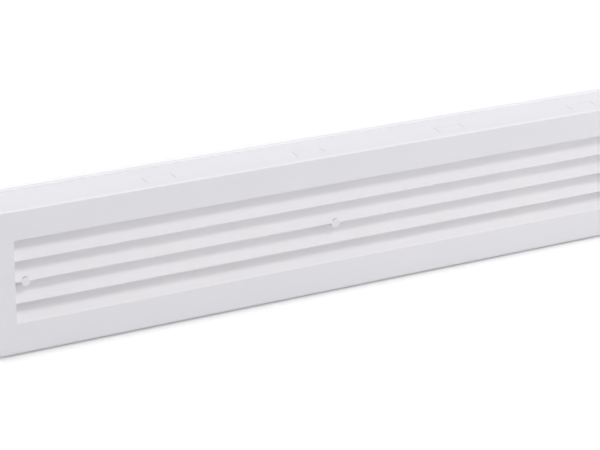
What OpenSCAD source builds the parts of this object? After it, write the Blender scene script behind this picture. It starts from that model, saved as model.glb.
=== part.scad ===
// Door vent grille: two moulded halves that telescope through a rectangular hole in a door
// and are drawn together by three screws. X runs along the grille, Y from the front face to
// the rear face, Z up. The origin is under the middle of the closed grille.

/* [Face] */
// Length of the front and rear faces
face_l = 457; // [380:1:600]
// Height of the front and rear faces
face_h = 92; // [84:1:120]
// Thickness of the face plates
face_t = 2.2; // [1.6:0.1:3]
// Height of the plain bars above and below the louvres
bar_h = 18.9; // [15:0.1:24]
// Width of the plain stiles at the ends of the louvres
stile_w = 11.8; // [8.4:0.1:20]
// Radius of the four corners of each face
face_r = 2; // [1.6:0.1:4]
// Rounding along the front and back edges of each rim
edge_r = 0.8; // [0.3:0.1:1.5]

/* [Collars] */
// Depth of the closed grille from the front face to the rear face
closed_d = 37.5; // [33:0.5:46]
// Depth of the front rim that laps over the door
front_rim_d = 5.5; // [4:0.1:8]
// Depth of the rear rim that laps over the door
rear_rim_d = 3; // [2.6:0.1:6]
// How far the rims stand out past the front collar
lip_step = 1.2; // [1:0.1:4]
// Wall of both collars
collar_wall = 1.8; // [1.5:0.1:2.2]
// Radius of the outer corners of the front collar
collar_r = 4; // [4:0.1:8]
// Gap all round between the two collars
slide_clear = 0.3; // [0.15:0.05:0.5]
// Gap left at the end of each collar when the grille is closed
end_clear = 0.1; // [0.05:0.05:1]
// Bevel that leads one collar into the other
lead_in = 0.6; // [0.3:0.1:1]
// How far the rear half draws out for a thicker door
travel = 14; // [6:0.5:15]

/* [Louvres] */
// Width of a louvre blade along its slope
blade_w = 16; // [13:0.5:17]
// Thickness of a louvre blade
blade_t = 1.6; // [1.2:0.1:2]
// Slope of the louvre blades above the horizontal
blade_angle = 45; // [35:1:50]
// Thickness of the walls beside the louvres
cheek_t = 1.8; // [1.5:0.1:2]
// Depth of the walls beside the louvres
cheek_d = 13.5; // [13:0.1:14.5]
// Gap between the head of the louvres and the rear collar above it
collar_to_box = 0.6; // [0.4:0.1:1]
// Thickness of the gussets that tie the plain bars to the sill and the head
gusset_t = 1.2; // [0.8:0.1:2]
// Depth of the gussets behind the front face
gusset_d = 8; // [5:0.5:9]
// How far a blade end runs into the wall beside it
tenon_l = 1; // [0.6:0.1:1.2]
// Gap round a blade end in its groove
groove_clear = 0.05; // [0.02:0.01:0.1]

/* [Catches] */
// Width of a spring finger in the front collar
finger_w = 19; // [14:0.5:26]
// Distance from the front face to the root of the fingers
finger_root_d = 11.4; // [9:0.1:13]
// Length of the fingers
finger_l = 8; // [7:0.1:9]
// Width of the slits beside a finger
side_slit_w = 0.6; // [0.4:0.1:2]
// Width of the slit across the free end of a finger
end_slit_w = 0.4; // [0.3:0.1:1.2]
// Distance between neighbouring fingers
finger_pitch = 104; // [80:1:110]
// Place of the first finger, left of the middle
finger_first = 116; // [100:1:130]
// Depth of the track that a finger runs in
track_depth = 0.4; // [0.3:0.1:0.5]
// Depth of the ratchet notches below the track
notch_depth = 0.5; // [0.3:0.1:0.6]
// Distance between ratchet notches
notch_pitch = 1.5; // [1:0.1:2.5]
// Gap between the tooth of a finger and the ratchet
tooth_clear = 0.1; // [0.05:0.05:0.2]

/* [Screws] */
// Diameter of the blind posts on the front louvres
post_d = 6; // [5.5:0.1:7]
// Length of the blind posts
post_l = 23.5; // [20:0.5:24]
// Plastic left between the pilot hole and the front face
post_end_t = 2.3; // [1.8:0.1:3]
// Distance from the outer posts to the ends of the louvres
post_inset = 6.7; // [5:0.1:12]
// Diameter of the sleeves on the rear louvres
sleeve_d = 9.4; // [9:0.1:10]
// Diameter of the screw shanks
screw_d = 3.4; // [3:0.1:3.6]
// Diameter of the screw heads
head_d = 7; // [6:0.1:7.4]
// Height of the screw heads
head_h = 2.4; // [2:0.1:3]
// Depth of the screw heads' seats below the rear face
seat_d = 4.1; // [3.6:0.1:6]
// Gap round the shank in the pilot hole of a post
pilot_clear = 0.05; // [0.02:0.01:0.1]
// Gap round the shank in a sleeve
sleeve_clear = 0.25; // [0.15:0.05:0.5]
// Gap round the head in its seat
head_clear = 0.4; // [0.2:0.1:0.6]
// Gap between a post and its sleeve when the grille is closed
meet_clear = 0.5; // [0.3:0.1:1]
// Gap between the tip of a screw and the end of its pilot hole
tip_clear = 0.6; // [0.3:0.1:2]
// Width of the slots in the screw heads
drive_w = 0.9; // [0.6:0.1:1.2]

/* [Hidden] */
$fn = 48;
past = 1;

mould_white = [0.93, 0.93, 0.94];
zinc = [0.75, 0.76, 0.78];

// Openings and louvre rows, from the sill moulded with the bottom bar to the head moulded
// with the top bar
opening_l = face_l - 2 * stile_w;
opening_h = face_h - 2 * bar_h;
row_sill = 0;
row_bottom = 1;
row_middle = 2;
row_top = 3;
row_head = 4;
row_pitch = opening_h / row_head;
nose_r = blade_t / 2;
function row_z(row) = bar_h + row * row_pitch;

// Collars, as insets from the outline of the faces
front_inset = lip_step;
rear_inset = front_inset + collar_wall + slide_clear;
front_collar_end = closed_d - rear_rim_d - end_clear;
rear_collar_end = closed_d - face_t - end_clear;
ceiling_z = face_h - rear_inset - collar_wall - collar_to_box;
least_r = 0.4;

// Catches: fingers in the front collar and ratchets in the rear one
finger_count = 4;
tooth_h = slide_clear + track_depth - tooth_clear;
tooth_l = notch_pitch;
track_side_clear = 0.5;
finger_end_d = finger_root_d + finger_l;

// Screws, posts and sleeves share three places on the middle louvres
post_places = [-1, 0, 1];
post_x = opening_l / 2 - post_inset;
post_z = row_z(row_middle);
pilot_d = screw_d + 2 * pilot_clear;
sleeve_l = closed_d - post_l - meet_clear;
screw_l = closed_d - seat_d - post_end_t - tip_clear;
tip_l = screw_d;
drive_l = head_d * 0.6;
drive_h = head_h * 0.55;

// Places the front half: distances back from the front face become Y
module front_half() {
  translate([0, -closed_d / 2, 0]) children();
}

// Places the rear half: distances in from the rear face run towards the front
module rear_half() {
  mirror([0, 1, 0]) translate([0, -closed_d / 2, 0]) children();
}

// Runs an outline of depth and height along the grille, centred on its middle
module along(length) {
  rotate([90, 0, 90]) linear_extrude(height = length, center = true) children();
}

// Runs an outline of length and height back from a depth
module back_from(start, depth) {
  translate([0, start + depth, 0]) rotate([90, 0, 0]) linear_extrude(height = depth) children();
}

// Repeats a feature of the top wall on the bottom wall, turned half way round
module top_and_bottom() {
  children();
  translate([0, 0, face_h]) rotate([0, 180, 0]) children();
}

// Rectangle with round corners, centred across and standing on zero
module round_rect(width, height, radius) {
  translate([radius - width / 2, 0]) square([width - 2 * radius, height]);
  translate([-width / 2, radius]) square([width, height - 2 * radius]);
  for (x = [radius - width / 2, width / 2 - radius], y = [radius, height - radius])
    translate([x, y]) circle(radius);
}

// Outline of the face, moved in by an inset
module outline(inset, radius) {
  translate([0, inset])
    round_rect(face_l - 2 * inset, face_h - 2 * inset, max(least_r, radius - inset));
}

// Outline of a collar, whose corners share the centres of the front collar's corners
module collar_outline(inset) {
  outline(inset, collar_r + front_inset);
}

// Block with rounded edges that the face plate and the rim are cut from
module rim_block(depth) {
  round_r = min(edge_r, (depth - least_r) / 2);
  intersection() {
    back_from(0, depth) outline(0, face_r);
    along(face_l + 2 * past) translate([depth / 2, 0]) round_rect(depth, face_h, round_r);
    linear_extrude(height = face_h) round_rect(face_l, depth, round_r);
  }
}

// Bevel round the end of a collar, inside its mouth or outside it: one wedge along each wall
module lead_in_wedges(collar_end, inset, outside) {
  away = outside ? past : -past;
  rise = outside ? lead_in + past : -lead_in - past;
  wedge_l = face_l - 2 * inset;
  module wedge_outline() {
    polygon([
      [collar_end - lead_in - past, inset - away],
      [collar_end + past, inset - away],
      [collar_end + past, inset + rise]
    ]);
  }
  top_and_bottom() along(wedge_l) wedge_outline();
  for (side = [0, 1])
    mirror([side, 0, 0]) translate([-face_l / 2, 0, inset])
      linear_extrude(height = face_h - 2 * inset) mirror([1, -1, 0]) wedge_outline();
}

// Face plate with its rim and collar, and the opening for the louvres
module shell(rim_d, inset, collar_end) {
  difference() {
    union() {
      rim_block(rim_d);
      back_from(face_t / 2, collar_end - face_t / 2) collar_outline(inset);
    }
    back_from(face_t, collar_end) collar_outline(inset + collar_wall);
    translate([0, 0, row_z(row_sill) + nose_r])
      back_from(-past, face_t + 2 * past)
        translate([-opening_l / 2, 0]) square([opening_l, opening_h - nose_r]);
  }
}

// Section of a louvre blade: a round nose on the face plane, a slope up from it and a round tail
module blade_section(width, grow = 0) {
  tail = width - blade_t;
  translate([nose_r, nose_r]) rotate(blade_angle) {
    for (end = [0, tail]) translate([end, 0]) circle(nose_r + grow);
    translate([0, -nose_r - grow]) square([tail, blade_t + 2 * grow]);
  }
}

// Section of the part of a blade that lies behind the face plate
module tenon_section(width, start, grow = 0) {
  intersection() {
    blade_section(width, grow);
    translate([start, -blade_w]) square([2 * blade_w, 3 * blade_w]);
  }
}

// Section of the sill or the head: a blade moulded with the plain bar in front of it
module fixed_blade_section(row) {
  intersection() {
    translate([0, row_z(row)]) blade_section(blade_w);
    square([2 * blade_w, ceiling_z]);
  }
}

// Outline of the wall beside the louvres, from the sill to the head
module cheek_outline() {
  rise = cheek_d * tan(blade_angle);
  intersection() {
    polygon([
      [face_t / 2, row_z(row_sill) - nose_r],
      [cheek_d, row_z(row_sill) - nose_r + rise],
      [cheek_d, row_z(row_head) + 2 * nose_r + rise],
      [face_t / 2, row_z(row_head) + 2 * nose_r]
    ]);
    square([cheek_d, ceiling_z]);
  }
}

// Walls beside the louvres, with a groove for each blade end, and the sill and the head
module louvre_box() {
  difference() {
    for (side = [-1, 1])
      translate([side * (opening_l + cheek_t) / 2, 0, 0]) along(cheek_t) cheek_outline();
    for (row = [row_bottom : row_top])
      translate([0, 0, row_z(row)])
        along(opening_l + 2 * (tenon_l + groove_clear))
          tenon_section(2 * blade_w, face_t, groove_clear);
  }
  for (row = [row_sill, row_head]) along(opening_l + cheek_t) fixed_blade_section(row);
  for (place = post_places) translate([place * post_x, 0, 0]) along(gusset_t) {
    gusset_outline(row_sill, face_h - ceiling_z);
    gusset_outline(row_head, ceiling_z);
  }
}

// Outline of a gusset: from the face plate at a height to the middle of a fixed blade
module gusset_outline(row, plate_z) {
  polygon([
    [face_t / 2, plate_z],
    [face_t / 2, row_z(row) + face_t / 2],
    [gusset_d, row_z(row) + gusset_d * tan(blade_angle)]
  ]);
}

// Round bars through the places of the screws, from one depth to another
module at_screws(diameter, start, end) {
  for (place = post_places)
    translate([place * post_x, start, post_z])
      rotate([-90, 0, 0]) cylinder(d = diameter, h = end - start);
}

// Louvre blade with its tenons, cut clear of the posts or sleeves that pass it
module louvre(row, passing_d) {
  difference() {
    translate([0, 0, row_z(row)]) {
      along(opening_l - 2 * groove_clear) blade_section(blade_w);
      along(opening_l + 2 * tenon_l) tenon_section(blade_w, face_t + groove_clear);
    }
    at_screws(passing_d + 2 * groove_clear, -past, closed_d);
  }
}

// Places something at each spring finger, on top of the grille
module at_fingers() {
  for (i = [0 : finger_count - 1])
    translate([i * finger_pitch - finger_first, 0, face_h - front_inset - collar_wall])
      children();
}

// Slits that free a finger on three sides, with round roots
module finger_slits() {
  slit_r = side_slit_w / 2;
  translate([0, 0, -past]) linear_extrude(height = collar_wall + 2 * past) {
    for (side = [-1, 1]) translate([side * (finger_w / 2 + slit_r), finger_root_d + slit_r]) {
      circle(slit_r);
      translate([-slit_r, 0]) square([side_slit_w, finger_l + end_slit_w - slit_r]);
    }
    translate([-finger_w / 2 - side_slit_w, finger_end_d])
      square([finger_w + 2 * side_slit_w, end_slit_w]);
  }
}

// Tooth under the free end of a finger: it slopes towards the collar that comes in from the
// rear, and its steep side holds that collar
module finger_tooth() {
  along(finger_w)
    polygon([
      [finger_end_d - tooth_l, -tooth_h],
      [finger_end_d, 0],
      [finger_end_d, collar_wall / 2],
      [finger_end_d - tooth_l, collar_wall / 2]
    ]);
}

// Track in the rear collar for one finger, with the ratchet notches in its floor
module ratchet_track() {
  track_w = finger_w + 2 * track_side_clear;
  start = closed_d - finger_end_d;
  translate([-track_w / 2, start - past, -slide_clear - track_depth])
    cube([track_w, closed_d, track_depth + slide_clear]);
  for (notch = [0 : floor(travel / notch_pitch)])
    translate([0, start + (notch + 1) * notch_pitch, -slide_clear - track_depth])
      along(finger_w)
        polygon([[0, past / 4], [0, -notch_depth], [-notch_pitch, 0], [-notch_pitch, past / 4]]);
}

module front_frame() color(mould_white) front_half() {
  difference() {
    union() {
      shell(front_rim_d, front_inset, front_collar_end);
      louvre_box();
    }
    top_and_bottom() at_fingers() finger_slits();
    lead_in_wedges(front_collar_end, front_inset + collar_wall, false);
  }
  top_and_bottom() at_fingers() finger_tooth();
}

module front_louvre(row) color(mould_white) front_half() louvre(row, post_d);

module front_post(place) color(mould_white) front_half()
  translate([place * post_x, 0, post_z]) rotate([-90, 0, 0]) difference() {
    cylinder(d = post_d, h = post_l);
    translate([0, 0, post_end_t]) cylinder(d = pilot_d, h = post_l);
  }

module rear_frame() color(mould_white) rear_half() {
  difference() {
    union() {
      shell(rear_rim_d, rear_inset, rear_collar_end);
      louvre_box();
    }
    top_and_bottom() at_fingers() ratchet_track();
    lead_in_wedges(rear_collar_end, rear_inset, true);
  }
}

module rear_louvre(row) color(mould_white) rear_half() louvre(row, sleeve_d);

module rear_sleeve(place) color(mould_white) rear_half()
  translate([place * post_x, 0, post_z]) rotate([-90, 0, 0]) difference() {
    cylinder(d = sleeve_d, h = sleeve_l);
    translate([0, 0, -past]) cylinder(d = head_d + 2 * head_clear, h = seat_d + past);
    translate([0, 0, -past]) cylinder(d = screw_d + 2 * sleeve_clear, h = sleeve_l + 2 * past);
  }

// Screw with a pan head on its seat, a plain shank and a pointed tip
module screw(place) color(zinc) rear_half()
  translate([place * post_x, seat_d, post_z]) rotate([-90, 0, 0]) {
    cylinder(d = screw_d, h = screw_l - tip_l);
    translate([0, 0, screw_l - tip_l]) cylinder(d1 = screw_d, d2 = screw_d / 4, h = tip_l);
    difference() {
      translate([0, 0, -head_h]) pan_head();
      for (turn = [0, 90])
        rotate([0, 0, turn]) translate([-drive_l / 2, -drive_w / 2, -head_h - past])
          cube([drive_l, drive_w, drive_h + past]);
    }
  }

// Head with a round edge towards its crown, which lies at zero
module pan_head() {
  rotate_extrude() {
    crown_r = head_h / 2;
    square([head_d / 2 - crown_r, head_h]);
    translate([0, crown_r]) square([head_d / 2, head_h - crown_r]);
    translate([head_d / 2 - crown_r, crown_r]) intersection() {
      circle(crown_r);
      translate([0, -crown_r]) square([crown_r, crown_r]);
    }
  }
}

front_frame();
front_louvre(row_top);  // front_louvre_top
front_louvre(row_middle);  // front_louvre_middle
front_louvre(row_bottom);  // front_louvre_bottom
front_post(-1);  // front_post_left
front_post(0);  // front_post_centre
front_post(1);  // front_post_right
rear_frame();
rear_louvre(row_top);  // rear_louvre_top
rear_louvre(row_middle);  // rear_louvre_middle
rear_louvre(row_bottom);  // rear_louvre_bottom
rear_sleeve(-1);  // rear_sleeve_left
rear_sleeve(0);  // rear_sleeve_centre
rear_sleeve(1);  // rear_sleeve_right
screw(-1);  // screw_left
screw(0);  // screw_centre
screw(1);  // screw_right
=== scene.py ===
# %% [markdown]
# # A door vent grille in white plastic
#
# The grille has two moulded halves. The front half is a face plate with a rim, a deep collar
# behind it and a bank of sloping louvres. The rear half is nearly the same, with a slimmer
# collar that slides into the front one, so the pair suits doors of several thicknesses.
# Three screws draw the halves together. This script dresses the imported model: every piece
# sits where the frame says, and only the finish, the small roundings and the screws' threads
# are new.

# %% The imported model
import math
import bmesh
import bpy
from mathutils import Matrix, Vector


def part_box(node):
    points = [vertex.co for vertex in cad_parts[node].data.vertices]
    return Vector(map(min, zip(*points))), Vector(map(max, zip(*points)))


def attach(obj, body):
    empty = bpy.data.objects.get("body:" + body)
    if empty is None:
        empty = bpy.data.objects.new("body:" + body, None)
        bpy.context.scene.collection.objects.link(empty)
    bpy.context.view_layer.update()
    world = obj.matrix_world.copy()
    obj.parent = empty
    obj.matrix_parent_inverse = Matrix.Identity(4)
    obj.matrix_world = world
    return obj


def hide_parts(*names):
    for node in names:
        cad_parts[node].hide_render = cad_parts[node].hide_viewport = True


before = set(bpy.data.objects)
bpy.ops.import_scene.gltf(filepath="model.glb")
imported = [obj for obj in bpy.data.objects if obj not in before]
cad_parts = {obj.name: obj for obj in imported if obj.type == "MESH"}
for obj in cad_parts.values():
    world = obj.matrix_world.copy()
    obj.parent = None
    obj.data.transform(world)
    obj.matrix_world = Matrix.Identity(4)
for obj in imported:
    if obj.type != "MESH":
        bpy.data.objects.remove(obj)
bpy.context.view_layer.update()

# %% [markdown]
# ## Sizes
#
# A piece fits its neighbours only if both take their size from the same place. So the sizes
# of the faces, the louvre rows and the posts are measured on the frame, and the few that can't
# be measured from outside, such as wall thicknesses, are named here once, in metres.

# %% Sizes taken from the frame
MM = 0.001
front_low, front_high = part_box("front_frame")
rear_low, rear_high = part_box("rear_frame")
top_blade_low, top_blade_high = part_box("front_louvre_top")
middle_blade_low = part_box("front_louvre_middle")[0]
post_low, post_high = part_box("front_post_left")
sleeve_low, sleeve_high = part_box("rear_sleeve_left")
screw_low, screw_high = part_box("screw_left")

half_length = front_high.x
face_height = front_high.z
front_y = front_low.y
rear_y = rear_high.y
rows_from_middle = 2
row_pitch = top_blade_low.z - middle_blade_low.z
sill_z = middle_blade_low.z - rows_from_middle * row_pitch
head_z = middle_blade_low.z + rows_from_middle * row_pitch
post_x = (post_low.x + post_high.x) / -2
post_z = (post_low.z + post_high.z) / 2
print("face", round(2 * half_length / MM), "x", round(face_height / MM), "mm, row pitch",
      round(row_pitch / MM, 2), "mm, posts at", round(post_x / MM, 1), "mm")

# %% Sizes named here
tenon = 1.0 * MM
opening_half = top_blade_high.x - tenon
plate_wall = 2.2 * MM
collar_wall = 1.8 * MM
front_rim_depth = 5.5 * MM
rear_rim_depth = 3.0 * MM
slide_gap = 0.3 * MM
lip_step = 1.2 * MM
rear_inset = lip_step + collar_wall + slide_gap
face_corner = 2.0 * MM
collar_corner = 4.0 * MM
face_edge = 0.8 * MM
small_edge = 0.3 * MM
lead_in = 0.6 * MM
blade_width = 16.0 * MM
blade_wall = 1.6 * MM
blade_slope = math.radians(45)
nose = blade_wall / 2
cheek_wall = 1.8 * MM
cheek_depth = 13.5 * MM
cheek_set_back = 0.03 * MM
gusset_wall = 1.2 * MM
gusset_depth = 8.0 * MM
ceiling_gap = 0.6 * MM
ceiling_z = face_height - rear_inset - collar_wall - ceiling_gap
print("opening", round(2 * opening_half / MM, 1), "mm long")

# %% [markdown]
# ## Helpers for meshes
#
# A finished piece is a plain mesh at the origin with its faces pointing outwards. Flat faces
# next to small roundings need weighted normals: without them the shading of a rounding bleeds
# over the whole flat face, and a moulded plate looks pillowed.

# %% Turning bmesh data into a piece
MERGE_WITHIN = 0.002 * MM


def piece_from(mesh, name):
    made = bpy.data.objects.new(name, mesh)
    bpy.context.scene.collection.objects.link(made)
    return made


def finished_mesh(edit, name):
    bmesh.ops.remove_doubles(edit, verts=edit.verts, dist=MERGE_WITHIN)
    bmesh.ops.dissolve_degenerate(edit, edges=edit.edges, dist=MERGE_WITHIN)
    bmesh.ops.recalc_face_normals(edit, faces=edit.faces)
    mesh = bpy.data.meshes.new(name)
    edit.to_mesh(mesh)
    edit.free()
    return mesh


def baked(piece, name):
    """The evaluated shape of a piece as a new plain mesh object; the old one is removed."""
    bpy.context.view_layer.update()
    graph = bpy.context.evaluated_depsgraph_get()
    mesh = bpy.data.meshes.new_from_object(piece.evaluated_get(graph))
    mesh.name = name
    bpy.data.objects.remove(piece)
    return piece_from(mesh, name)


# %% Shading, and a count of the edges that don't join two faces
SHARP_ABOVE = math.radians(35)
FLAT_FACE_WEIGHT = 80


def soft_shading(piece):
    piece.data.shade_smooth()
    piece.data.set_sharp_from_angle(angle=SHARP_ABOVE)
    weighted = piece.modifiers.new("weighted normals", "WEIGHTED_NORMAL")
    weighted.keep_sharp = True
    weighted.weight = FLAT_FACE_WEIGHT


def open_edges(mesh):
    uses = {}
    for face in mesh.polygons:
        for key in face.edge_keys:
            uses[key] = uses.get(key, 0) + 1
    return sum(1 for count in uses.values() if count != 2)


# %% [markdown]
# ## The two shells
#
# Face plate, rim and collar are one wall that runs round the opening like a picture frame.
# A box with booleans would do, but the wall is easier to see as a stack of rounded rectangles:
# each ring is one outline of the section, and quads join ring to ring. The last ring joins
# the first, so the shell is closed, and every edge gets its own small radius.

# %% A closed wall through a loop of rounded rectangles
CORNER_STEPS = 8


def ring_points(half_width, low, high, radius, y):
    """A rounded rectangle round the opening, at one depth."""
    points = []
    corners = [
        (half_width - radius, low + radius, -90),
        (half_width - radius, high - radius, 0),
        (radius - half_width, high - radius, 90),
        (radius - half_width, low + radius, 180),
    ]
    for x, z, start in corners:
        for step in range(CORNER_STEPS + 1):
            turn = math.radians(start + 90 * step / CORNER_STEPS)
            points.append((x + radius * math.cos(turn), y, z + radius * math.sin(turn)))
    return points


def join_rings(edit, rings):
    loops = [[edit.verts.new(point) for point in ring_points(*ring)] for ring in rings]
    count = len(loops[0])
    for first, second in zip(loops, loops[1:] + loops[:1]):
        for i in range(count):
            j = (i + 1) % count
            edit.faces.new((first[i], first[j], second[j], second[i]))


# %% The section of a shell, from its front edge round the collar and back to the opening
ARC_STEPS = 5


def arc(centre, radius, start, end):
    """Points along part of a circle, between two angles in degrees."""
    turns = [math.radians(start + (end - start) * k / ARC_STEPS) for k in range(ARC_STEPS + 1)]
    return [(centre[0] + radius * math.cos(t), centre[1] + radius * math.sin(t)) for t in turns]


def shell_mesh(face_y, inward, rim_depth, inset, collar_end, bevel_inside):
    """The wall of one half; inward is 1 or -1, the way from its face along Y."""
    inner = inset + collar_wall
    rim = arc((face_edge, face_edge), face_edge, -90, -180)
    rim += arc((face_edge, rim_depth - face_edge), face_edge, 180, 90)
    collar = arc((inset - small_edge, rim_depth + small_edge), small_edge, -90, 0)
    if bevel_inside:
        collar += arc((inset + small_edge, collar_end - small_edge), small_edge, 180, 90)
        collar += [(inner - lead_in, collar_end), (inner, collar_end - lead_in)]
    else:
        collar += [(inset, collar_end - lead_in), (inset + lead_in, collar_end)]
        collar += arc((inner - small_edge, collar_end - small_edge), small_edge, 90, 0)
    collar += [(inner, plate_wall)]
    opening = arc((-small_edge, plate_wall - small_edge), small_edge, 90, 0)
    opening += arc((-small_edge, small_edge), small_edge, 0, -90)

    rings = []
    for across, depth in rim:
        rings.append((half_length - across, across, face_height - across,
                      max(face_corner - across, small_edge), face_y + inward * depth))
    for across, depth in collar:
        rings.append((half_length - across, across, face_height - across,
                      max(collar_corner + lip_step - across, small_edge),
                      face_y + inward * depth))
    for grow, depth in opening:
        rings.append((opening_half - grow, sill_z + nose + grow, head_z - grow,
                      small_edge - grow, face_y + inward * depth))
    edit = bmesh.new()
    join_rings(edit, rings)
    return edit


# %% [markdown]
# ## The walls beside the louvres, and the gussets
#
# The blades end in two upright walls, one at each end of the opening. Each is a flat sheet
# with a sloping lower edge that follows the sill. Small triangular gussets behind the plain
# bars, in line with the screws, keep the long bars stiff. Both are flat outlines with one
# thickness, so one helper extrudes them all. They sink into the face plate as solids of their
# own, and stand a hair back from its edge: two faces in one plane would flicker black.

# %% Outlines extruded along the grille
def add_prism(edit, outline, x_from, x_to):
    """A closed prism whose outline is given in depth (Y) and height (Z)."""
    first = [edit.verts.new((x_from, y, z)) for y, z in outline]
    second = [edit.verts.new((x_to, y, z)) for y, z in outline]
    edit.faces.new(first)
    edit.faces.new(second[::-1])
    for i in range(len(outline)):
        j = (i + 1) % len(outline)
        edit.faces.new((first[i], second[i], second[j], first[j]))


# %% The upright walls and the gussets
def add_cheeks(edit, face_y, inward):
    """The two upright walls at the ends of the opening."""
    rise = cheek_depth * math.tan(blade_slope)
    start = plate_wall / 2
    low = sill_z - nose
    high = head_z + 2 * nose
    reach = ceiling_z - high
    outline = [(start, low), (cheek_depth, low + rise), (cheek_depth, ceiling_z),
               (start + reach, ceiling_z), (start, high)]
    outline = [(face_y + inward * depth, z) for depth, z in outline]
    near = opening_half + cheek_set_back
    for side in (-1, 1):
        add_prism(edit, outline, side * near, side * (opening_half + cheek_wall))


def add_gussets(edit, face_y, inward):
    """The stiffening triangles behind the lower and the upper bar."""
    start = plate_wall / 2
    rise = gusset_depth * math.tan(blade_slope)
    for row_z, bar_z in ((sill_z, face_height - ceiling_z), (head_z, ceiling_z)):
        outline = [(start, bar_z), (start, row_z + start), (gusset_depth, row_z + rise)]
        outline = [(face_y + inward * depth, z) for depth, z in outline]
        for x in (-post_x, 0.0, post_x):
            add_prism(edit, outline, x - gusset_wall / 2, x + gusset_wall / 2)


# %% [markdown]
# ## Spring fingers and ratchet tracks
#
# Four fingers are cut free in the top of the front collar and four in the bottom. A small
# tooth under each drops into notches in the rear collar, so the halves click together while
# the screws are turned. Slits, tracks and notches are flat outlines too, taken out with exact
# booleans, which keeps the wall around them flat. Modelling them into the rings would need
# many more loops.

# %% Sizes of the catches
finger_width = 19.0 * MM
finger_root = 11.4 * MM
finger_length = 8.0 * MM
side_slit = 0.3 * MM
end_slit = 0.15 * MM
finger_count = 4
finger_pitch = 104.0 * MM
finger_first = 116.0 * MM
track_depth = 0.4 * MM
track_side_gap = 0.5 * MM
track_past_finger = 1.0 * MM
notch_depth = 0.5 * MM
notch_pitch = 1.5 * MM
notch_count = 10
tooth_gap = 0.1 * MM
tooth_inset = 0.1 * MM
cutter_margin = 1.0 * MM
finger_end = front_y + finger_root + finger_length
finger_places = [i * finger_pitch - finger_first for i in range(finger_count)]
print("fingers at", [round(x / MM) for x in finger_places], "mm")


# %% Outlines extruded upwards, and copies for the bottom wall
def add_plate(edit, outline, low, high):
    """A closed plate whose outline is given along the grille (X) and in depth (Y)."""
    bottom = [edit.verts.new((x, y, low)) for x, y in outline]
    top = [edit.verts.new((x, y, high)) for x, y in outline]
    edit.faces.new(bottom)
    edit.faces.new(top[::-1])
    for i in range(len(outline)):
        j = (i + 1) % len(outline)
        edit.faces.new((bottom[i], top[i], top[j], bottom[j]))


def on_both_walls(add):
    """A cutter or part built at the top wall, and again half way round at the bottom wall."""
    edit = bmesh.new()
    add(edit)
    count = len(edit.verts)
    add(edit)
    edit.verts.ensure_lookup_table()
    turn = Matrix(((-1, 0, 0), (0, 1, 0), (0, 0, -1))).to_4x4()
    turn.translation = (0, 0, face_height)
    bmesh.ops.transform(edit, matrix=turn, verts=edit.verts[count:])
    return edit


# %% The slits round each finger, with round roots, and the tooth under it
def add_finger_slits(edit):
    top = face_height - lip_step
    radius = side_slit / 2
    root_y = front_y + finger_root + radius
    slit_end = finger_end + end_slit
    for x in finger_places:
        near, far = x - finger_width / 2, x + finger_width / 2
        outline = [(near - side_slit, slit_end)]
        outline += arc((near - radius, root_y), radius, 180, 360)
        outline += [(near, finger_end), (far, finger_end)]
        outline += arc((far + radius, root_y), radius, 180, 360)
        outline += [(far + side_slit, slit_end)]
        add_plate(edit, outline, top - collar_wall - cutter_margin, top + cutter_margin)


def add_finger_teeth(edit):
    under = face_height - lip_step - collar_wall
    tooth = slide_gap + track_depth - tooth_gap
    tip = finger_end - notch_pitch
    outline = [(tip, under - tooth), (finger_end - tooth_inset, under),
               (finger_end - tooth_inset, under + collar_wall / 2), (tip, under + collar_wall / 2)]
    reach = finger_width / 2 - tooth_inset
    for x in finger_places:
        add_prism(edit, outline, x - reach, x + reach)


# %% The tracks in the rear collar, and the notches in their floors
track_floor = face_height - rear_inset - track_depth
track_end = finger_end + track_past_finger


def add_tracks(edit):
    above = track_floor + cutter_margin
    outline = [(front_y, track_floor), (track_end, track_floor),
               (track_end, above), (front_y, above)]
    reach = finger_width / 2 + track_side_gap
    for x in finger_places:
        add_prism(edit, outline, x - reach, x + reach)


def add_notches(edit):
    outline = [(finger_end, track_floor + track_depth / 2), (finger_end, track_floor)]
    for k in range(1, notch_count + 1):
        steep = finger_end - k * notch_pitch
        outline += [(steep, track_floor - notch_depth), (steep, track_floor)]
    outline.append((steep, track_floor + track_depth / 2))
    for x in finger_places:
        add_prism(edit, outline, x - finger_width / 2, x + finger_width / 2)


# %% Cutting into a piece, and adding to it
def with_cut(body, cutter):
    name = body.name
    tool = piece_from(finished_mesh(cutter, name + "_cutter"), name + "_cutter")
    cut = body.modifiers.new("cut", "BOOLEAN")
    cut.operation = "DIFFERENCE"
    cut.solver = "EXACT"
    cut.object = tool
    body.name = name + "_uncut"
    result = baked(body, name)
    bpy.data.objects.remove(tool)
    return result


def add_to(piece, edit):
    """Adds closed solids to a piece that they sink into."""
    bmesh.ops.recalc_face_normals(edit, faces=edit.faces)
    edit.from_mesh(piece.data)
    edit.to_mesh(piece.data)
    edit.free()


# %% The two finished shells
front_rings = shell_mesh(front_y, 1, front_rim_depth, lip_step, front_high.y - front_y, True)
front_shell = piece_from(finished_mesh(front_rings, "front_shell"), "front_shell")
front_shell = with_cut(front_shell, on_both_walls(add_finger_slits))
front_extras = on_both_walls(add_finger_teeth)
add_cheeks(front_extras, front_y, 1)
add_gussets(front_extras, front_y, 1)
add_to(front_shell, front_extras)

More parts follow.
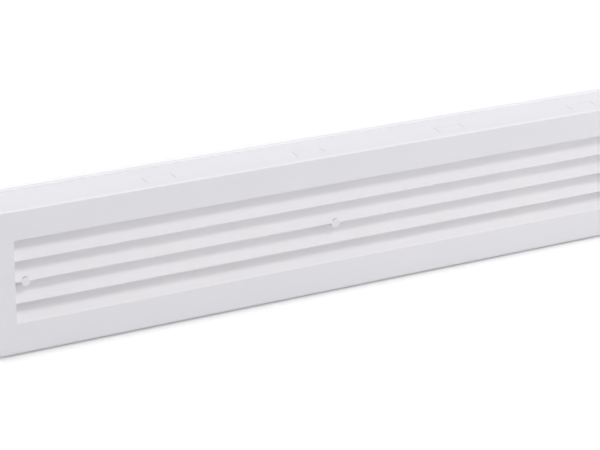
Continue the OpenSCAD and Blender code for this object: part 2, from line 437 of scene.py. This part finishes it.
rear_rings = shell_mesh(rear_y, -1, rear_rim_depth, rear_inset, rear_y - rear_low.y, False)
rear_shell = piece_from(finished_mesh(rear_rings, "rear_shell"), "rear_shell")
rear_shell = with_cut(rear_shell, on_both_walls(add_tracks))
rear_shell = with_cut(rear_shell, on_both_walls(add_notches))
rear_extras = bmesh.new()
add_cheeks(rear_extras, rear_y, -1)
add_gussets(rear_extras, rear_y, -1)
add_to(rear_shell, rear_extras)
for shell in (front_shell, rear_shell):
    print(shell.name, len(shell.data.polygons), "faces, open edges", open_edges(shell.data))


# %% [markdown]
# ## Finish of the moulded plastic
#
# White styrene comes off a polished tool with a satin skin. Close up it has a fine grain,
# faint flow lines along the length and a few handling scuffs that catch the light.
# A painted picture could carry them, but noise that reads the piece's own place needs no
# unwrapping and shows no seams. These effects are one node group, so that every white piece
# can use them at its own strength.

# %% Small helpers for node trees
def put(tree, kind, inputs=None, **settings):
    node = tree.nodes.new(kind)
    for name, value in settings.items():
        setattr(node, name, value)
    for name, value in (inputs or {}).items():
        if isinstance(value, bpy.types.NodeSocket):
            tree.links.new(value, node.inputs[name])
        else:
            node.inputs[name].default_value = value
    return node


def maths(tree, operation, first, second=0.0, third=0.0):
    return put(tree, "ShaderNodeMath", {0: first, 1: second, 2: third},
               operation=operation).outputs[0]


# %% The group for moulded skin, with its patterns' scales per metre
grain_size = 0.35 * MM
CLOUD_SCALE = 22.0
FLOW_SCALE = (6.0, 120.0, 120.0)
SCUFF_SCALE = (260.0, 30.0, 30.0)
SCUFF_TURN = (0.5, 0.4, 0.7)
SCUFFS_FROM, SCUFFS_FULL = 0.66, 0.74


def moulded_skin():
    tree = bpy.data.node_groups.new("moulded_skin", "ShaderNodeTree")
    face = tree.interface
    for name, value in (("Grain Size", grain_size), ("Mottle", 0.5), ("Scuffs", 0.5)):
        face.new_socket(name, in_out="INPUT", socket_type="NodeSocketFloat").default_value = value
    for name in ("Tint", "Sheen Mask", "Height"):
        face.new_socket(name, in_out="OUTPUT", socket_type="NodeSocketFloat")
    given = put(tree, "NodeGroupInput")
    place = put(tree, "ShaderNodeTexCoord").outputs["Object"]

    fineness = maths(tree, "DIVIDE", 1.0, given.outputs["Grain Size"])
    grain = put(tree, "ShaderNodeTexNoise", {"Vector": place, "Scale": fineness, "Detail": 3.0,
                                             "Roughness": 0.6}).outputs["Fac"]
    cloud = put(tree, "ShaderNodeTexNoise", {"Vector": place, "Scale": CLOUD_SCALE,
                                             "Detail": 2.0, "Roughness": 0.5}).outputs["Fac"]
    along = put(tree, "ShaderNodeMapping", {"Vector": place, "Scale": FLOW_SCALE})
    flow = put(tree, "ShaderNodeTexNoise", {"Vector": along.outputs[0], "Scale": 1.0,
                                            "Detail": 4.0, "Roughness": 0.55}).outputs["Fac"]
    crossing = put(tree, "ShaderNodeMapping", {"Vector": place, "Rotation": SCUFF_TURN,
                                               "Scale": SCUFF_SCALE})
    scratch = put(tree, "ShaderNodeTexNoise", {"Vector": crossing.outputs[0], "Scale": 1.0,
                                               "Detail": 6.0, "Roughness": 0.7}).outputs["Fac"]
    rare = put(tree, "ShaderNodeMapRange", {"Value": scratch, "From Min": SCUFFS_FROM,
                                            "From Max": SCUFFS_FULL, "To Min": 0.0,
                                            "To Max": 1.0}).outputs[0]
    scuffs = maths(tree, "MULTIPLY", rare, given.outputs["Scuffs"])

    # Soft clouds and fainter flow lines lean the tint to either side of its middle.
    waves = maths(tree, "ADD", maths(tree, "SUBTRACT", cloud, 0.5),
                  maths(tree, "MULTIPLY", maths(tree, "SUBTRACT", flow, 0.5), 0.6))
    tint = maths(tree, "MULTIPLY_ADD", waves, given.outputs["Mottle"], 0.5)
    # Flow lines and scuffs move the sheen; grain and flow lines give the relief.
    sheen = maths(tree, "MULTIPLY_ADD", maths(tree, "SUBTRACT", flow, 0.5), 0.5,
                  maths(tree, "MULTIPLY_ADD", scuffs, 0.6, 0.4))
    height = maths(tree, "ADD", maths(tree, "MULTIPLY", grain, 0.6),
                   maths(tree, "MULTIPLY", flow, 0.4))
    put(tree, "NodeGroupOutput", {"Tint": tint, "Sheen Mask": sheen, "Height": height})
    return tree


skin_group = moulded_skin()
print("skin group:", len(skin_group.nodes), "nodes")


# %% [markdown]
# White plastic is never pure white: it sits a little under it, with a cool cast. The tint
# output of the group leans the colour between two close whites, and the sheen mask moves
# the roughness a little, which is what makes a broad reflection look like a real surface.

# %% The white of the mouldings
def colour_between(tree, factor, first, second):
    mix = put(tree, "ShaderNodeMix", {"Factor": factor}, data_type="RGBA")
    mix.inputs["A"].default_value = (*first, 1.0)
    mix.inputs["B"].default_value = (*second, 1.0)
    return mix.outputs["Result"]


def white_plastic(name, low_white, high_white, smooth, rough, grain_height, mottle, scuffs):
    material = bpy.data.materials.new(name)
    material.use_nodes = True
    tree = material.node_tree
    shader = tree.nodes["Principled BSDF"]
    skin = put(tree, "ShaderNodeGroup", node_tree=skin_group)
    skin.inputs["Grain Size"].default_value = grain_size
    skin.inputs["Mottle"].default_value = mottle
    skin.inputs["Scuffs"].default_value = scuffs
    colour = colour_between(tree, skin.outputs["Tint"], low_white, high_white)
    tree.links.new(colour, shader.inputs["Base Color"])
    rough_range = put(tree, "ShaderNodeMapRange", {"Value": skin.outputs["Sheen Mask"],
                                                   "To Min": smooth, "To Max": rough})
    tree.links.new(rough_range.outputs[0], shader.inputs["Roughness"])
    bump = put(tree, "ShaderNodeBump", {"Height": skin.outputs["Height"], "Strength": 0.35,
                                        "Distance": grain_height})
    tree.links.new(bump.outputs[0], shader.inputs["Normal"])
    shader.inputs["IOR"].default_value = 1.5
    shader.inputs["Specular IOR Level"].default_value = 0.4
    return material


grain_height = 0.02 * MM
shell_white = white_plastic(
    "shell_white", low_white=(0.838, 0.835, 0.877), high_white=(0.888, 0.882, 0.917),
    smooth=0.36, rough=0.52, grain_height=grain_height, mottle=0.6, scuffs=0.5)
# The blades and sleeves are the same plastic as the shell, but take a lighter white: painted light
# that stands in for the light bouncing between the blades.
white_with_painted_bounce = white_plastic(
    "white_with_painted_bounce", low_white=(0.913, 0.896, 0.926), high_white=(0.963, 0.944, 0.968),
    smooth=0.38, rough=0.52, grain_height=grain_height, mottle=0.5, scuffs=0.2)
print("whites:", shell_white.name, white_with_painted_bounce.name)

# %% [markdown]
# ## The louvre banks
#
# Five equal blades stand one above another in each half: the sill, three free blades and the
# head. That is a rule, so a Geometry Nodes tree draws it: one section with a round nose is
# swept along the opening, and the blade is repeated on a line of points. The same tree makes
# the rear bank, with the slope turned the other way. Cylinders along the screws are cut out,
# so that the screws pass. They are thinner than the posts and sleeves, so that the blades
# sink into those and leave no gap, also round the soft front ends of the posts.

# %% A tree with named inputs
SOCKETS = {"float": "NodeSocketFloat", "int": "NodeSocketInt", "vector": "NodeSocketVector",
           "material": "NodeSocketMaterial"}


def geometry_tree(name, inputs):
    tree = bpy.data.node_groups.new(name, "GeometryNodeTree")
    tree.interface.new_socket("Geometry", in_out="INPUT", socket_type="NodeSocketGeometry")
    tree.interface.new_socket("Geometry", in_out="OUTPUT", socket_type="NodeSocketGeometry")
    for label, kind in inputs:
        tree.interface.new_socket(label, in_out="INPUT", socket_type=SOCKETS[kind])
    return tree, put(tree, "NodeGroupInput").outputs


def finish_tree(tree, geometry, material):
    real = put(tree, "GeometryNodeRealizeInstances", {"Geometry": geometry}).outputs[0]
    coated = put(tree, "GeometryNodeSetMaterial", {"Geometry": real, "Material": material})
    put(tree, "NodeGroupOutput", {"Geometry": coated.outputs[0]})
    return tree


def grown(tree, name, values, base=None):
    """Runs a tree with the given inputs and returns its result as a plain mesh object."""
    host = piece_from(base or bpy.data.meshes.new(name), name + "_seed")
    modifier = host.modifiers.new("tree", "NODES")
    modifier.node_group = tree
    for item in tree.interface.items_tree:
        if item.in_out == "INPUT" and item.name in values:
            modifier[item.identifier] = values[item.name]
    return baked(host, name)


# %% Vectors, moves and repeats in a tree
def vector_of(tree, x=0.0, y=0.0, z=0.0):
    return put(tree, "ShaderNodeCombineXYZ", {"X": x, "Y": y, "Z": z}).outputs[0]


def moved(tree, geometry, **how):
    node = put(tree, "GeometryNodeTransform", {"Geometry": geometry})
    for label, value in how.items():
        socket = node.inputs[label.capitalize()]
        if isinstance(value, bpy.types.NodeSocket):
            tree.links.new(value, socket)
        else:
            socket.default_value = value
    return node.outputs[0]


def repeated(tree, geometry, count, first, step):
    line = put(tree, "GeometryNodeMeshLine",
               {"Count": count, "Start Location": first, "Offset": step})
    return put(tree, "GeometryNodeInstanceOnPoints",
               {"Points": line.outputs[0], "Instance": geometry}).outputs[0]


# %% One blade, its section swept along the opening
ROUND_STEPS = 6
NEARLY_ALL = 0.98


def blade_shape(tree, given):
    """A blade with its nose on the X axis and its slope in place.

    The rounding of nose and tail is a hair under half the wall, so its two arcs never meet.
    """
    half_wall = maths(tree, "MULTIPLY", given["Wall"], 0.5)
    flat = put(tree, "GeometryNodeCurvePrimitiveQuadrilateral",
               {"Width": given["Width"], "Height": given["Wall"]})
    rounded = put(tree, "GeometryNodeFilletCurve",
                  {"Curve": flat.outputs[0], "Count": ROUND_STEPS,
                   "Radius": maths(tree, "MULTIPLY", half_wall, NEARLY_ALL)}, mode="POLY")
    to_nose = maths(tree, "SUBTRACT", maths(tree, "MULTIPLY", given["Width"], 0.5), half_wall)
    section = moved(tree, rounded.outputs[0], translation=vector_of(tree, to_nose))
    end = maths(tree, "MULTIPLY", given["Length"], 0.5)
    start = maths(tree, "MULTIPLY", end, -1.0)
    path = put(tree, "GeometryNodeCurvePrimitiveLine",
               {"Start": vector_of(tree, 0.0, 0.0, start), "End": vector_of(tree, 0.0, 0.0, end)})
    swept = put(tree, "GeometryNodeCurveToMesh",
                {"Curve": path.outputs[0], "Profile Curve": section, "Fill Caps": True})
    along_x = moved(tree, swept.outputs[0], rotation=(math.radians(90), 0.0, math.radians(90)))
    return moved(tree, along_x, rotation=vector_of(tree, given["Slope"]))


# %% The bank, the blade repeated up the rows with the screws' way cut out
SCREW_COUNT = 3
BAR_SIDES = 48
BAR_LENGTH = 120 * MM


def louvre_tree():
    tree, given = geometry_tree("louvre_bank", [
        ("Rows", "int"), ("Pitch", "float"), ("Length", "float"), ("Width", "float"),
        ("Wall", "float"), ("Slope", "float"), ("First Nose", "vector"),
        ("Passing Radius", "float"), ("Screw Spacing", "float"), ("Screw Height", "float"),
        ("Material", "material")])
    bank = repeated(tree, blade_shape(tree, given), given["Rows"], given["First Nose"],
                    vector_of(tree, 0.0, 0.0, given["Pitch"]))
    bank = put(tree, "GeometryNodeRealizeInstances", {"Geometry": bank}).outputs[0]
    bar = put(tree, "GeometryNodeMeshCylinder",
              {"Vertices": BAR_SIDES, "Radius": given["Passing Radius"],
               "Depth": BAR_LENGTH}).outputs[0]
    bar = moved(tree, bar, rotation=(math.radians(90), 0.0, 0.0))
    first_bar = maths(tree, "MULTIPLY", given["Screw Spacing"], -1.0)
    bars = repeated(tree, bar, SCREW_COUNT,
                    vector_of(tree, first_bar, 0.0, given["Screw Height"]),
                    vector_of(tree, given["Screw Spacing"]))
    bars = put(tree, "GeometryNodeRealizeInstances", {"Geometry": bars}).outputs[0]
    cut = put(tree, "GeometryNodeMeshBoolean", {"Mesh 1": bank, "Mesh 2": bars},
              operation="DIFFERENCE", solver="EXACT")
    return finish_tree(tree, cut.outputs[0], given["Material"])


# %% Both banks from the one tree
sunk = 0.05 * MM
post_edge = 0.5 * MM
nose_set_back = 0.01 * MM
bank_values = {"Rows": 2 * rows_from_middle + 1, "Pitch": row_pitch,
               "Length": 2 * opening_half + tenon, "Width": blade_width, "Wall": blade_wall,
               "Screw Spacing": post_x, "Screw Height": post_z, "Material": white_with_painted_bounce}
louvres = louvre_tree()
post_radius = (post_high.x - post_low.x) / 2
sleeve_radius = (sleeve_high.x - sleeve_low.x) / 2
front_louvres = grown(louvres, "front_louvres", {
    **bank_values, "Slope": blade_slope, "Passing Radius": post_radius - post_edge,
    "First Nose": (0.0, front_y + nose + nose_set_back, sill_z + nose)})
rear_louvres = grown(louvres, "rear_louvres", {
    **bank_values, "Slope": math.pi - blade_slope, "Passing Radius": sleeve_radius - sunk,
    "First Nose": (0.0, rear_y - nose - nose_set_back, sill_z + nose)})
for bank in (front_louvres, rear_louvres):
    print(bank.name, len(bank.data.polygons), "faces, open edges", open_edges(bank.data))

# %% [markdown]
# ## Posts, sleeves and screws
#
# Three blind posts on the front half take the screws, and three sleeves on the rear half
# guide them. All are round, so each is an outline of radius and depth that is turned about
# its own axis. One small tree then sets three copies in a row, because the three places
# follow one spacing.

# %% Turning an outline of radius and depth about the screw's axis
TURN_STEPS = 40


def turned(outline, face_y, inward):
    """A closed solid of revolution; a radius of zero makes a point on the axis."""
    edit = bmesh.new()
    rings = []
    for radius, depth in outline:
        y = face_y + inward * depth
        if radius == 0.0:
            rings.append([edit.verts.new((0.0, y, 0.0))])
            continue
        turns = [math.tau * k / TURN_STEPS for k in range(TURN_STEPS)]
        rings.append([edit.verts.new((radius * math.cos(t), y, radius * math.sin(t)))
                      for t in turns])
    pairs = list(zip(rings, rings[1:]))
    if outline[0][0] > 0.0:
        pairs.append((rings[-1], rings[0]))
    for first, second in pairs:
        for i in range(TURN_STEPS):
            j = (i + 1) % TURN_STEPS
            corners = (first[i % len(first)], first[j % len(first)],
                       second[j % len(second)], second[i % len(second)])
            edit.faces.new(list(dict.fromkeys(corners)))
    return edit


# %% Three copies in a row
def row_of_three():
    tree, given = geometry_tree("row_of_three", [
        ("Spacing", "float"), ("Height", "float"), ("Material", "material")])
    first = vector_of(tree, maths(tree, "MULTIPLY", given["Spacing"], -1.0), 0.0, given["Height"])
    row = repeated(tree, given["Geometry"], SCREW_COUNT, first,
                   vector_of(tree, given["Spacing"]))
    return finish_tree(tree, row, given["Material"])


three = row_of_three()


def set_in_a_row(mesh, name, material):
    return grown(three, name, {"Spacing": post_x, "Height": post_z, "Material": material}, mesh)


# %% Sizes of the posts and the sleeves
EDGE_STEPS = 4
post_length = post_high.y - post_low.y
sleeve_length = sleeve_high.y - sleeve_low.y
post_end_wall = 2.3 * MM
pilot_radius = 1.75 * MM
seat_radius = 3.9 * MM
seat_depth = 4.1 * MM
shank_hole_radius = 1.95 * MM
turned_edge = 0.25 * MM
print("posts", round(post_length / MM, 1), "mm long, sleeves", round(sleeve_length / MM, 1))


# %% The posts and the sleeves
def rounded_end(radius, depth, towards, edge=turned_edge):
    """A small round edge at an end of a turned piece, from the end face to the side or back."""
    steps = [math.radians(90 * k / EDGE_STEPS) for k in range(EDGE_STEPS + 1)]
    points = [(radius - edge * (1 - math.sin(t)),
               depth + towards * edge * (1 - math.cos(t))) for t in steps]
    return points if towards > 0 else points[::-1]


post_outline = [(0.0, 0.0)] + rounded_end(post_radius, 0.0, 1, post_edge)
post_outline += rounded_end(post_radius, post_length, -1)
post_outline += [(pilot_radius, post_length), (pilot_radius, post_end_wall), (0.0, post_end_wall)]
sleeve_outline = rounded_end(sleeve_radius, 0.0, 1) + rounded_end(sleeve_radius, sleeve_length, -1)
sleeve_outline += [(shank_hole_radius, sleeve_length), (shank_hole_radius, seat_depth),
                   (seat_radius, seat_depth), (seat_radius, 0.0)]
post_mesh = finished_mesh(turned(post_outline, front_y, 1), "screw_post")
sleeve_mesh = finished_mesh(turned(sleeve_outline, rear_y, -1), "screw_sleeve")
screw_posts = set_in_a_row(post_mesh, "screw_posts", shell_white)
# The sleeves take the lighter white too, with its painted bounce light.
screw_sleeves = set_in_a_row(sleeve_mesh, "screw_sleeves", white_with_painted_bounce)
print("posts", len(screw_posts.data.polygons), "faces, sleeves",
      len(screw_sleeves.data.polygons), "faces")

# %% [markdown]
# ## The screws
#
# Plastic is joined with coarse screws: a pan head, a cross recess and a thread with a tall,
# thin ridge. The thread is a helix, which Geometry Nodes draws with a spiral and a small
# three-sided section; it is joined to the turned core before the row is made.

# %% The core with its head
screw_length = screw_high.y - screw_low.y
head_radius = (screw_high.x - screw_low.x) / 2
head_height = 2.4 * MM
head_top = seat_depth - head_height
crown = head_height / 2
core_radius = 1.25 * MM
tip_length = 3.4 * MM
tip_depth = head_top + screw_length
core_outline = [(0.0, head_top)]
core_outline += [(head_radius - crown + a, head_top + crown - b)
                 for a, b in arc((0.0, 0.0), crown, 90, 0)]
core_outline += [(head_radius, seat_depth), (core_radius, seat_depth),
                 (core_radius, tip_depth - tip_length), (0.0, tip_depth)]
screw_core = piece_from(finished_mesh(turned(core_outline, rear_y, -1), "screw_core"),
                        "screw_core")
print("screw", round(screw_length / MM, 1), "mm long, head", round(2 * head_radius / MM, 1))

# %% The cross recess, whose outline is one arm turned by quarter turns
recess_reach = 0.6 * head_radius
recess_half_width = 0.45 * MM
recess_depth = 0.55 * head_height
arm = [(recess_half_width, recess_half_width), (recess_half_width, recess_reach),
       (-recess_half_width, recess_reach)]
cross = []
for quarter in range(4):
    cross += arm
    arm = [(-z, x) for x, z in arm]
recess = bmesh.new()
add_plate(recess, cross, 0.0, recess_depth + cutter_margin)
recess_place = Matrix.Translation((0.0, rear_y - head_top + cutter_margin, 0.0))
bmesh.ops.transform(recess, verts=recess.verts,
                    matrix=recess_place @ Matrix.Rotation(math.radians(90), 4, "X"))
screw_core = with_cut(screw_core, recess)
print("screw core", len(screw_core.data.polygons), "faces")


# %% The thread
THREAD_STEPS = 20
RIDGE_SIDES = 3


def thread_tree():
    tree, given = geometry_tree("thread", [
        ("Length", "float"), ("Pitch", "float"), ("Core Radius", "float"),
        ("Ridge", "float"), ("Start", "float"), ("Material", "material")])
    spiral = put(tree, "GeometryNodeCurveSpiral", {
        "Resolution": THREAD_STEPS, "Height": given["Length"],
        "Rotations": maths(tree, "DIVIDE", given["Length"], given["Pitch"]),
        "Start Radius": given["Core Radius"], "End Radius": given["Core Radius"]})
    section = put(tree, "GeometryNodeCurvePrimitiveCircle",
                  {"Resolution": RIDGE_SIDES, "Radius": given["Ridge"]})
    ridge = put(tree, "GeometryNodeCurveToMesh",
                {"Curve": spiral.outputs[0], "Profile Curve": section.outputs[0],
                 "Fill Caps": True})
    ridge = moved(tree, ridge.outputs[0], rotation=(math.radians(90), 0.0, 0.0),
                  translation=vector_of(tree, 0.0, given["Start"]))
    both = put(tree, "GeometryNodeJoinGeometry")
    tree.links.new(ridge, both.inputs[0])
    tree.links.new(given["Geometry"], both.inputs[0])
    return finish_tree(tree, both.outputs[0], given["Material"])


# %% [markdown]
# The screws are steel with a thin zinc plate, which has small crystal patches and dull
# specks. One grey would look like paint. So small cells and soft clouds lean the colour
# between two close greys, and a finer noise moves the roughness and the bump together.

# %% Zinc-plated steel, with its patterns' scales per metre
CELL_SCALE = 1400.0
PATCH_SCALE = 500.0
SPECK_SCALE = 2600.0


def zinc_plate():
    material = bpy.data.materials.new("zinc_plate")
    material.use_nodes = True
    tree = material.node_tree
    shader = tree.nodes["Principled BSDF"]
    place = put(tree, "ShaderNodeTexCoord").outputs["Object"]
    cells = put(tree, "ShaderNodeTexVoronoi", {"Vector": place, "Scale": CELL_SCALE})
    patches = put(tree, "ShaderNodeTexNoise", {"Vector": place, "Scale": PATCH_SCALE,
                                               "Detail": 4.0})
    specks = put(tree, "ShaderNodeTexNoise", {"Vector": place, "Scale": SPECK_SCALE,
                                              "Detail": 3.0})
    blend = maths(tree, "MULTIPLY_ADD", cells.outputs["Distance"], 0.5,
                  maths(tree, "MULTIPLY", patches.outputs["Fac"], 0.7))
    tint = colour_between(tree, blend, (0.60, 0.62, 0.66), (0.72, 0.73, 0.74))
    tree.links.new(tint, shader.inputs["Base Color"])
    rough = put(tree, "ShaderNodeMapRange", {"Value": specks.outputs["Fac"], "To Min": 0.22,
                                             "To Max": 0.46})
    tree.links.new(rough.outputs[0], shader.inputs["Roughness"])
    bump = put(tree, "ShaderNodeBump", {"Height": specks.outputs["Fac"], "Strength": 0.3,
                                        "Distance": 0.01 * MM})
    tree.links.new(bump.outputs[0], shader.inputs["Normal"])
    shader.inputs["Metallic"].default_value = 1.0
    return material


# %% The finished screws
zinc = zinc_plate()
thread_pitch = 1.4 * MM
thread_ridge = 0.42 * MM
plain_end = 1.0 * MM
thread_length = tip_depth - tip_length - seat_depth - 2 * plain_end
screw_shape = grown(thread_tree(), "screw_shape", {
    "Length": thread_length, "Pitch": thread_pitch, "Core Radius": core_radius,
    "Ridge": thread_ridge, "Start": rear_y - seat_depth - plain_end,
    "Material": zinc}, screw_core.data)
bpy.data.objects.remove(screw_core)
screws = set_in_a_row(screw_shape.data, "screws", zinc)
bpy.data.objects.remove(screw_shape)
low = [min(v.co[i] for v in screws.data.vertices) for i in range(3)]
high = [max(v.co[i] for v in screws.data.vertices) for i in range(3)]
print("screws from", [round(v / MM, 1) for v in low], "to", [round(v / MM, 1) for v in high])

# %% [markdown]
# ## Riding
#
# Each piece is tied to the body that it moves with and stands for the solids that it dresses.
# When the rear half draws out, its shell, louvres, sleeves and screws go with it.

# %% Which body carries which piece
front_nodes = ["front_louvre_top", "front_louvre_middle", "front_louvre_bottom"]
rear_nodes = ["rear_louvre_top", "rear_louvre_middle", "rear_louvre_bottom"]
places = ("left", "centre", "right")
front_shell.data.materials.append(shell_white)
rear_shell.data.materials.append(shell_white)
riders = [
    (front_shell, "front_half", "white_plastic", ["front_frame"]),
    (front_louvres, "front_half", "white_plastic", front_nodes),
    (screw_posts, "front_half", "white_plastic", ["front_post_" + p for p in places]),
    (rear_shell, "rear_half", "white_plastic", ["rear_frame"]),
    (rear_louvres, "rear_half", "white_plastic", rear_nodes),
    (screw_sleeves, "rear_half", "white_plastic", ["rear_sleeve_" + p for p in places]),
    (screws, "rear_half", "screw_steel", ["screw_" + p for p in places]),
]
for piece, body, slot, nodes in riders:
    soft_shading(piece)
    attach(piece, body)
    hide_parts(*nodes)

# %% [markdown]
# ## Floor, light and camera
#
# The grille stands on a white table in a white room. Soft light comes from all sides, and
# six lights add direction. One hangs almost overhead and lays the short shadow in front of
# the lower edge; a weaker one stands behind it. One stands high in front, and a broad window
# on either side of the lens lights the face. A small lamp low on the right is close enough
# to make that end a little brighter than the left one.
#
# The table in the picture is overexposed, yet it can't have lit the grille that strongly. So
# the camera sees a bright floor, and the grille gets back the light of a darker one. The
# floor lies a millimetre low, because the dark line under the real grille is that wide.

# %% A white for the floor that keeps the shadow
FLOOR_COLOUR = 0.97
FLOOR_GIVES_BACK = 0.58
FLOOR_SHINES = 0.15
PURE_WHITE = (1.0, 1.0, 1.0, 1.0)


def seen_directly(tree):
    path = put(tree, "ShaderNodeLightPath")
    rays = maths(tree, "ADD", path.outputs["Is Camera Ray"], path.outputs["Is Glossy Ray"])
    rays = maths(tree, "ADD", rays, path.outputs["Is Transmission Ray"])
    return maths(tree, "MINIMUM", rays, 1.0)


def floor_material():
    material = bpy.data.materials.new("floor_white")
    material.use_nodes = True
    tree = material.node_tree
    tree.nodes.clear()
    seen = seen_directly(tree)
    white = maths(tree, "MULTIPLY_ADD", seen, FLOOR_COLOUR - FLOOR_GIVES_BACK, FLOOR_GIVES_BACK)
    matt = put(tree, "ShaderNodeBsdfDiffuse", {"Color": white})
    shine = put(tree, "ShaderNodeEmission",
                {"Strength": maths(tree, "MULTIPLY", seen, FLOOR_SHINES)})
    both = put(tree, "ShaderNodeAddShader", {0: matt.outputs[0], 1: shine.outputs[0]})
    put(tree, "ShaderNodeOutputMaterial", {"Surface": both.outputs[0]})
    return material


# %% The floor
FLOOR_DROP = 1.1 * MM
FLOOR_REACH = 6.0
floor_edit = bmesh.new()
bmesh.ops.create_grid(floor_edit, x_segments=1, y_segments=1, size=FLOOR_REACH)
floor_mesh = bpy.data.meshes.new("floor")
floor_edit.to_mesh(floor_mesh)
floor_edit.free()
floor_mesh.transform(Matrix.Translation((0.0, 0.0, -FLOOR_DROP)))
floor = piece_from(floor_mesh, "floor")
floor.data.materials.append(floor_material())
print("floor", round(FLOOR_DROP / MM, 1), "mm under the grille")

# %% Light from all sides
AMBIENT = 0.38
world = bpy.data.worlds.new("white room")
bpy.context.scene.world = world
world.use_nodes = True
world_tree = world.node_tree
world_tree.nodes.clear()
strength = maths(world_tree, "MULTIPLY_ADD", seen_directly(world_tree), 1.0 - AMBIENT, AMBIENT)
sky = put(world_tree, "ShaderNodeBackground", {"Color": PURE_WHITE, "Strength": strength})
put(world_tree, "ShaderNodeOutputWorld", {"Surface": sky.outputs[0]})
print("light from all sides:", AMBIENT)


# %% Wide soft lights, each given by the light that it lays on a surface that faces it
grille_middle = Vector((0.0, 0.0, face_height / 2))


def aimed(light, name, place):
    lamp = bpy.data.objects.new(name, light)
    lamp.location = place
    lamp.rotation_euler = (grille_middle - place).to_track_quat("-Z", "Y").to_euler()
    bpy.context.scene.collection.objects.link(lamp)


def far_light(name, place, level, spread):
    """A light as good as infinitely far away; spread is its width in degrees."""
    light = bpy.data.lights.new(name, "SUN")
    light.energy = level * math.pi
    light.angle = math.radians(spread)
    aimed(light, name, place)


def near_light(name, place, level, across):
    """A round lamp that falls off with distance; across is its width in metres."""
    light = bpy.data.lights.new(name, "AREA")
    light.shape = "DISK"
    light.size = across
    light.energy = level * math.pi ** 2 * (place - grille_middle).length ** 2
    aimed(light, name, place)


# %% The six lights
far_light("light above", Vector((0.05, 0.12, 2.00)), level=0.27, spread=7.0)
far_light("light behind", Vector((0.00, 1.00, 1.60)), level=0.09, spread=20.0)
far_light("high light in front", Vector((0.60, -0.85, 1.45)), level=0.16, spread=18.0)
far_light("window in front", Vector((0.45, -1.45, 0.45)), level=0.14, spread=25.0)
far_light("second window", Vector((-0.45, -1.45, 0.45)), level=0.11, spread=25.0)
near_light("low lamp", Vector((0.58, -0.56, 0.22)), level=0.07, across=0.30)

# %% The camera, at the place and angle that fit the grille's edges in the picture
FOCAL_PIXELS, WIDTH_PIXELS = 2206.0, 600.0
SENSOR_WIDTH = 36.0
CAMERA_PLACE = Vector((-0.6408, -1.1474, 0.5708))
YAW, PITCH, ROLL = math.radians(28.58), math.radians(22.08), math.radians(0.94)
forward = Vector((math.sin(YAW) * math.cos(PITCH), math.cos(YAW) * math.cos(PITCH),
                  -math.sin(PITCH)))
right = Vector((math.cos(YAW), -math.sin(YAW), 0.0))
up = right.cross(forward)
across = right * math.cos(ROLL) + up * math.sin(ROLL)
upward = up * math.cos(ROLL) - right * math.sin(ROLL)
turn = Matrix((across, upward, -forward)).transposed()
camera_data = bpy.data.cameras.new("camera")
camera_data.sensor_width = SENSOR_WIDTH
camera_data.lens = FOCAL_PIXELS / WIDTH_PIXELS * SENSOR_WIDTH
camera = bpy.data.objects.new("camera", camera_data)
camera.matrix_world = Matrix.Translation(CAMERA_PLACE) @ turn.to_4x4()
bpy.context.scene.collection.objects.link(camera)
bpy.context.scene.camera = camera
bpy.context.scene.view_settings.view_transform = "Standard"
print("camera at", [round(v, 3) for v in CAMERA_PLACE], "lens", round(camera_data.lens, 1), "mm")
